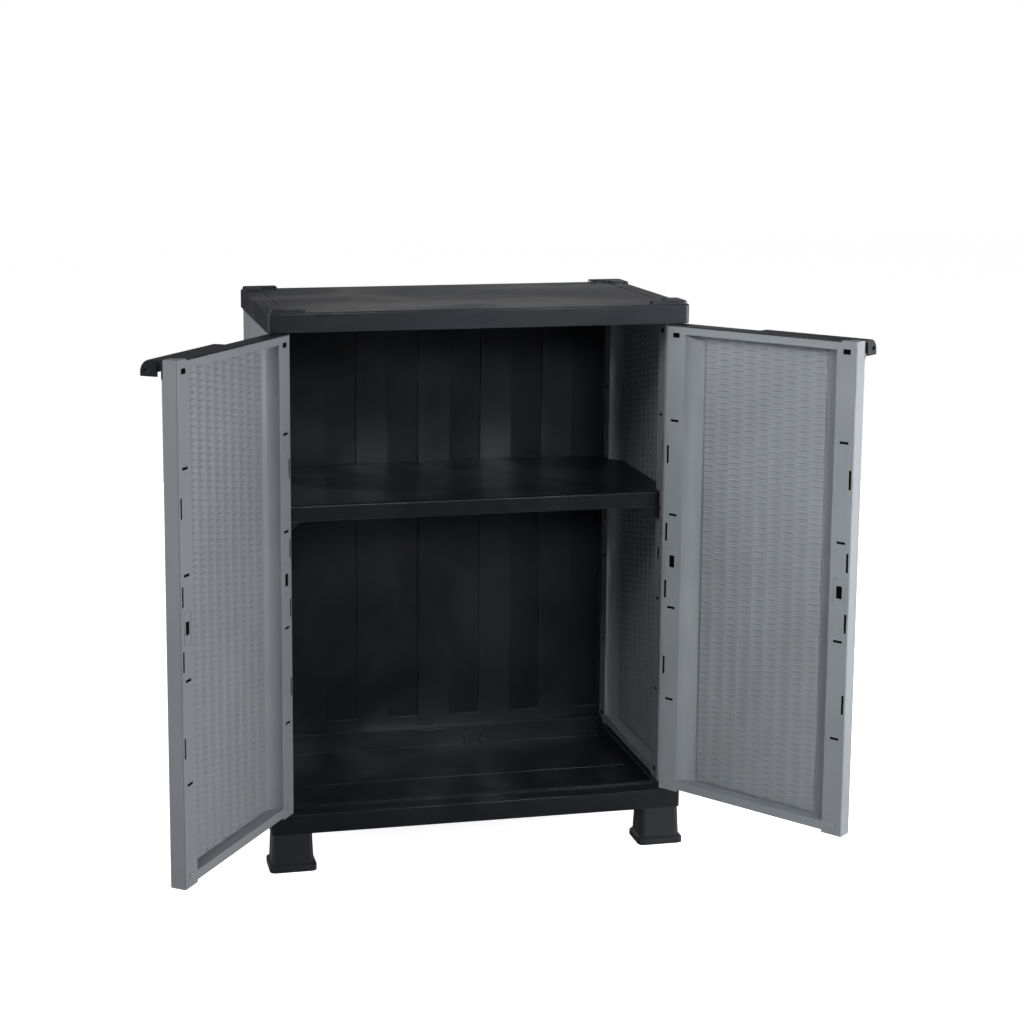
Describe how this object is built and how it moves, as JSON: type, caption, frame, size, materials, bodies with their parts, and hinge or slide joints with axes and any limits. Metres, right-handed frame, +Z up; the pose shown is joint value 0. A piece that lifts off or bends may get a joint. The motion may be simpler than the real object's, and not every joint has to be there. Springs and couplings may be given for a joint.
{
  "type": "garden storage cabinet",
  "caption": "Low plastic garden cabinet with hinged woven-pattern doors and sides, a shelf, a black lid, tray base and flared feet, and pull rails with padlock holes.",
  "frame": {"origin": "on the ground, below the middle of the lid", "axes": "+X to the cabinet's right as seen from its front, +Y to the back, +Z up; the doors are at the front"},
  "size_m": [1.1069, 0.6475, 0.905],
  "materials": {
    "grey_panel": "moulded, satin, with a woven relief",
    "grey_plug": "moulded, satin",
    "black_body": "moulded, satin",
    "black_lid": "moulded, slightly glossy",
    "black_foot": "moulded, satin",
    "black_pin": "moulded, smooth"
  },
  "bodies": {
    "cabinet": {"base_tray": "black_body", "back_panel": "black_body", "lid": "black_lid", "shelf": "black_body", "curb_clip": "black_body", "curb_catches": "black_body", "side_panel_left": "grey_panel", "side_panel_right": "grey_panel", "foot_front_left": "black_foot", "shelf_bracket_front_left": "black_body", "foot_rear_left": "black_foot", "shelf_bracket_rear_left": "black_body", "pivot_pin_lower_left": "black_pin", "pivot_pin_upper_left": "black_pin", "foot_front_right": "black_foot", "shelf_bracket_front_right": "black_body", "foot_rear_right": "black_foot", "shelf_bracket_rear_right": "black_body", "pivot_pin_lower_right": "black_pin", "pivot_pin_upper_right": "black_pin"},
    "door_left": {"door_panel_left": "grey_panel", "door_rail_left": "black_body", "door_plugs_left": "grey_plug"},
    "door_right": {"door_panel_right": "grey_panel", "door_rail_right": "black_body", "door_plugs_right": "grey_plug"}
  },
  "joints": [
    {"name": "left_door_hinge", "type": "hinge", "parent": "cabinet", "child": "door_left", "pos_m": [-0.326, -0.17902, 0.48], "axis": [0, 0, -1], "range_deg": [-125.5, 54.5]},
    {"name": "right_door_hinge", "type": "hinge", "parent": "cabinet", "child": "door_right", "pos_m": [0.326, -0.17902, 0.48], "axis": [0, 0, 1], "range_deg": [-128, 52]}
  ]
}
